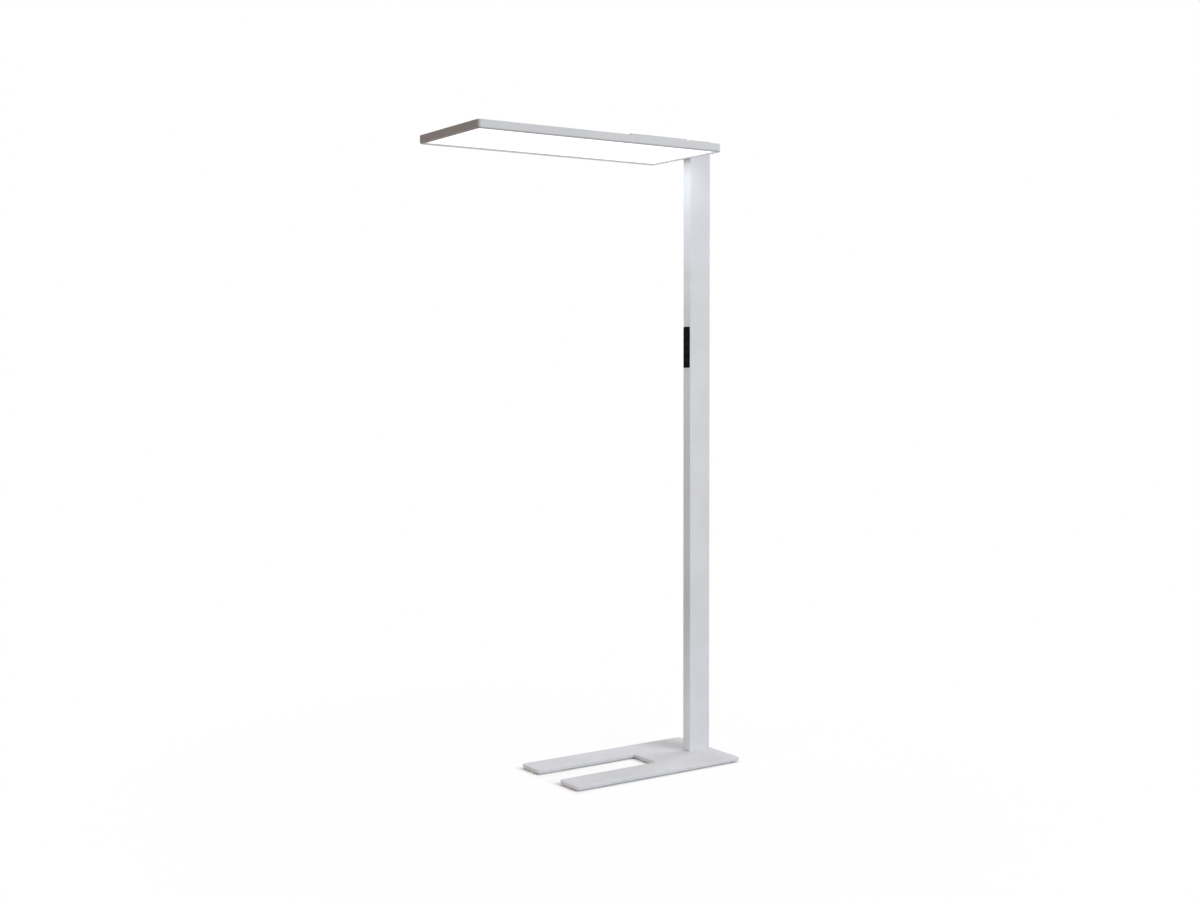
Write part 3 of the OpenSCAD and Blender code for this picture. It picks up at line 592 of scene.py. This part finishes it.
def ring(radius, open_angle=0):
    """A printed ring on the plane Y = 0, radius in mm, open at its top by that many degrees."""
    bpy.ops.object.select_all(action="DESELECT")
    bpy.ops.mesh.primitive_torus_add(
        major_radius=radius * MM, minor_radius=STROKE / 2, major_segments=48, minor_segments=8,
        rotation=(math.pi / 2, 0, 0),
    )
    hoop = bpy.context.object
    settle(hoop)
    hoop.scale = (1, INK / STROKE, 1)
    settle(hoop)
    if open_angle:
        half = math.radians(open_angle / 2)
        bpy.ops.object.mode_set(mode="EDIT")
        select_faces(hoop, lambda face: abs(math.atan2(face.center.x, face.center.z)) < half)
        bpy.ops.mesh.delete(type="FACE")
        bpy.ops.mesh.select_all(action="SELECT")
        bpy.ops.mesh.fill_holes(sides=0)
        bpy.ops.object.mode_set(mode="OBJECT")
    return hoop


def sign(key, *strokes):
    """Joins a key's printed strokes and lays them on the bottom of its dish."""
    mark = strokes[0]
    activate(mark)
    if len(strokes) > 1:
        for stroke in strokes:
            stroke.select_set(True)
        bpy.ops.object.join()
    mark.name = f"sign_{key}"
    mark.location = face_middle(f"key_{key}") + Vector((0, DISH_DEPTH - PRINT_OUT, 0))
    settle(mark)
    smooth(mark)
    dress(mark, key_print)
    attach(mark, f"{key}_key")


def sun_rays(count, start, end):
    """Printed rays all round a middle, each from the radius start to the radius end, in mm."""
    rays = []
    for i in range(count):
        turn = math.tau * i / count
        x, z = math.sin(turn), math.cos(turn)
        rays.append(bar(start * x, start * z, end * x, end * z))
    return rays


for key in ("power", "brighter", "dimmer", "mode"):
    softened(f"key_{key}", f"key_cap_{key}", key_moulding, 0.12 * MM, carve=hollow_dish)
    dress(frame["nodes"][f"plunger_{key}"], plunger_moulding)

sign("power", ring(2.5, 60), bar(0, 0.9, 0, 3.1))
sign("brighter", bar(-2.4, 0, 2.4, 0), bar(0, -2.4, 0, 2.4))
sign("dimmer", bar(-2.4, 0, 2.4, 0))
sign("mode", ring(1.1), *sun_rays(8, 1.9, 2.6))


# ---------- floor and background ----------

FLOOR_RADIUS = 1.7
FLOOR_GREY = 250
BOUNCE_GREY = 196  # the paper's level for the light that it throws back up at the lamp
FLOOR_FADE = (FLOOR_RADIUS - 0.1, 0.5)  # from plain white at the paper's edge to paper, by radius
PLATE_FADE = (-0.014, 0.03)  # outwards across the plate's outline
PLATE_WHITE = 0.93  # share of plain white beyond that
SLOT_FADE = (-0.02, 0.04)  # inwards across the slot's walls
SLOT_WHITE = 0.65
SLOT_CLEARANCE = 0.5 * MM  # the record's box of the slot stands off the slot's walls by this
AMBIENT = (0.18, 0.12, 0.083)  # the room's own light on the lamp
WHITE = (1.0, 1.0, 1.0)


def slot_reach():
    """Half the slot's width, and the Y of its closed end."""
    openings = frame["record"]["physics"]["openings"]
    slot_box = next(row["box_m"] for row in openings if row["name"] == "base_slot")
    slot_high = slot_box[1]
    return slot_high[0] + SLOT_CLEARANCE, slot_high[1] + SLOT_CLEARANCE


def pale_floor():
    """White paper. Away from the base the camera sees mostly plain white, so that the shadow there
    stays faint; close to the plate it sees the paper as it is lit."""
    paint = Paint("pale_floor")
    low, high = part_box("base_plate")
    middle = (low.y + high.y) / 2
    half_slot, slot_end = slot_reach()
    x = paint.axis("X")
    y = paint.axis("Y")
    past_plate = (abs(x) - high.x).math("MAXIMUM", abs(y - middle) - (high.y - middle))
    into_slot = (half_slot - abs(x)).math("MINIMUM", slot_end - y)
    round_plate = past_plate.step(*PLATE_FADE) * PLATE_WHITE
    near_base = round_plate.math("MAXIMUM", into_slot.step(*SLOT_FADE) * SLOT_WHITE)
    from_middle = (x * x + y * y).math("SQRT")
    white_share = 1 - (1 - near_base) * from_middle.step(*FLOOR_FADE)
    background = paint.sees_background()
    papers = [
        paint.node("ShaderNodeBsdfDiffuse", inputs={"Color": grey(level), "Roughness": 0.5})
        for level in (BOUNCE_GREY, FLOOR_GREY)
    ]
    paper = paint.mix(background, *papers)
    plain_white = paint.node("ShaderNodeEmission", inputs={"Color": WHITE, "Strength": 1.0})
    surface = paint.mix(background * white_share, paper, plain_white)
    paint.feed(paint.out.inputs["Surface"], surface.outputs[0])
    return paint.material


bpy.ops.object.select_all(action="DESELECT")
bpy.ops.mesh.primitive_circle_add(vertices=128, radius=FLOOR_RADIUS, fill_type="NGON")
floor = bpy.context.object
floor.name = "floor"
floor.data.materials.append(pale_floor())

sky = Sky("studio")
ambient = sky.node("ShaderNodeBackground", inputs={"Color": AMBIENT})
background = sky.node("ShaderNodeBackground", inputs={"Color": WHITE})
studio = sky.mix(sky.sees_background(), ambient, background)
sky.feed(sky.out.inputs["Surface"], studio.outputs[0])
scene.world = sky.world


# ---------- lights ----------


def softbox(name, place, target, size, level, colour, spread=180, glare=True):
    """A soft box at place, aimed at target, that gives a surface facing it there about this level.
    Its light keeps within spread degrees, and without glare it shows in no reflection."""
    light = bpy.data.lights.new(name, "AREA")
    light.shape = "RECTANGLE"
    light.size, light.size_y = size
    light.color = colour
    light.spread = math.radians(spread)
    holder = bpy.data.objects.new(name, light)
    scene.collection.objects.link(holder)
    way = Vector(target) - Vector(place)
    holder.visible_camera = False
    holder.visible_glossy = glare
    holder.location = place
    holder.rotation_euler = way.to_track_quat("-Z", "Y").to_euler()
    light.energy = level * math.pi**2 * way.length_squared


diffuser_low, diffuser_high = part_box("diffuser")
under_diffuser = (diffuser_low + diffuser_high) / 2
under_diffuser.z = diffuser_low.z - 0.5 * MM
below_head = under_diffuser - Vector((0, 0, 1.0))

# Name, place, target, size, level and colour, and the spread of those that are narrow. The front,
# foot and column lights are narrow so that each lifts one part alone.
softbox("key_light", (16.0, 5.4, 8.6), (0, 0.1, 1.0), (9.5, 9.5), 0.801, (0.923, 1.0, 1.057))
softbox("side_light", (1.6, 1.4, 1.2), (0.018, 0.42, 1.2), (0.8, 0.8), 0.127, (0.949, 1.0, 1.027))
softbox("front_light", (0.0, -3.6, 1.05), (0, 0.3, 0.85), (2.2, 0.6), 0.0252, (0.995, 1.0, 0.993), 40)
softbox("foot_light", (0.0, -3.6, 0.25), (0, 0.1, 0.0), (1.2, 0.3), 0.00397, (1.07, 1.0, 0.976), 14)
softbox("column_light", (0.0, -3.6, 0.2), (0, 0.37, 1.66), (0.4, 0.4), 0.00143, (0.898, 1.0, 1.229), 18)
softbox("head_light", under_diffuser, below_head, (0.29, 0.775), 0.21, (0.884, 1.0, 1.032), 150)
softbox("left_light", (-4.4, 1.2, 2.8), (0, 0, 1.0), (2.4, 2.4), 0.155, (0.824, 1.0, 1.168))
softbox("left_fill", (-4.4, 1.2, 0.9), (0, 0, 0.9), (2.4, 1.6), 0.17, (0.96, 1.0, 1.03), glare=False)
softbox("rear_light", (-0.6, 4.6, 2.8), (0, 0, 1.0), (2.4, 2.4), 0.488, (1.04, 1.0, 1.041))


# ---------- camera ----------

CAMERA_PLACE = (3.7817, -2.4782, 1.2287)
CAMERA_YAW = math.radians(56.2664)  # turned this far from +Y towards -X
CAMERA_PITCH = math.radians(-3.0197)
CAMERA_ROLL = math.radians(-0.1243)
CAMERA_LENS = 44.892
SENSOR_WIDTH = 36

camera_data = bpy.data.cameras.new("camera")
camera_data.lens = CAMERA_LENS
camera_data.sensor_width = SENSOR_WIDTH
camera = bpy.data.objects.new("camera", camera_data)
scene.collection.objects.link(camera)
camera.matrix_world = (
    Matrix.Translation(CAMERA_PLACE)
    @ Matrix.Rotation(CAMERA_YAW, 4, "Z")
    @ Matrix.Rotation(math.pi / 2 + CAMERA_PITCH, 4, "X")
    @ Matrix.Rotation(CAMERA_ROLL, 4, "Z")
)
scene.camera = camera
scene.view_settings.view_transform = "Standard"
